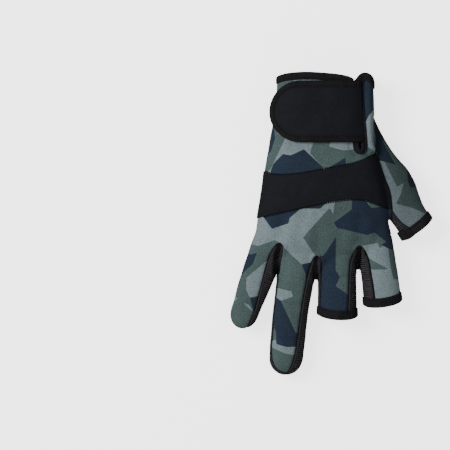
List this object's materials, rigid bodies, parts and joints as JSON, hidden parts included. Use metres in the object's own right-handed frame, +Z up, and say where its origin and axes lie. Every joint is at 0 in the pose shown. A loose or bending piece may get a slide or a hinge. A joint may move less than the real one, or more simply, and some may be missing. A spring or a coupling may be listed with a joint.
{
  "type": "fishing glove",
  "caption": "Three-cut fishing glove for the right hand, lying palm down: printed back, leather palm, cut fingertips with taped edges, knuckle band and wrist strap.",
  "frame": {"origin": "middle of the glove's bounding box on the surface that its palm lies on", "axes": "+Y from the fingertips to the cuff, +X towards the thumb, +Z up out of the back of the hand"},
  "size_m": [0.1644, 0.248, 0.0361],
  "materials": {
    "camo_shell": "matte brushed knit face on thin foam, printed in a splinter pattern of grey, green and navy",
    "black_neoprene": "matte knit-faced neoprene",
    "strap_neoprene": "matte knit-faced neoprene over hook tape",
    "grip_leather": "synthetic leather embossed with fine dots, semi-matte",
    "finger_leather": "plain synthetic leather, matte",
    "edge_tape": "folded stretch edge tape, matte",
    "strap_edging": "woven elastic edging, matte"
  },
  "bodies": {
    "root": {"back_panel": "camo_shell", "thumb_back_panel": "camo_shell", "knuckle_band": "black_neoprene", "wrist_strap": "strap_neoprene", "palm_panel": "grip_leather", "thumb_palm_panel": "grip_leather", "fourchette_pinky_ring": "finger_leather", "fourchette_ring_middle": "finger_leather", "fourchette_middle_index": "finger_leather", "cuff_binding": "edge_tape", "middle_binding": "edge_tape", "index_binding": "edge_tape", "thumb_binding": "edge_tape", "slit_binding": "edge_tape", "strap_trim": "strap_edging"}
  },
  "joints": []
}
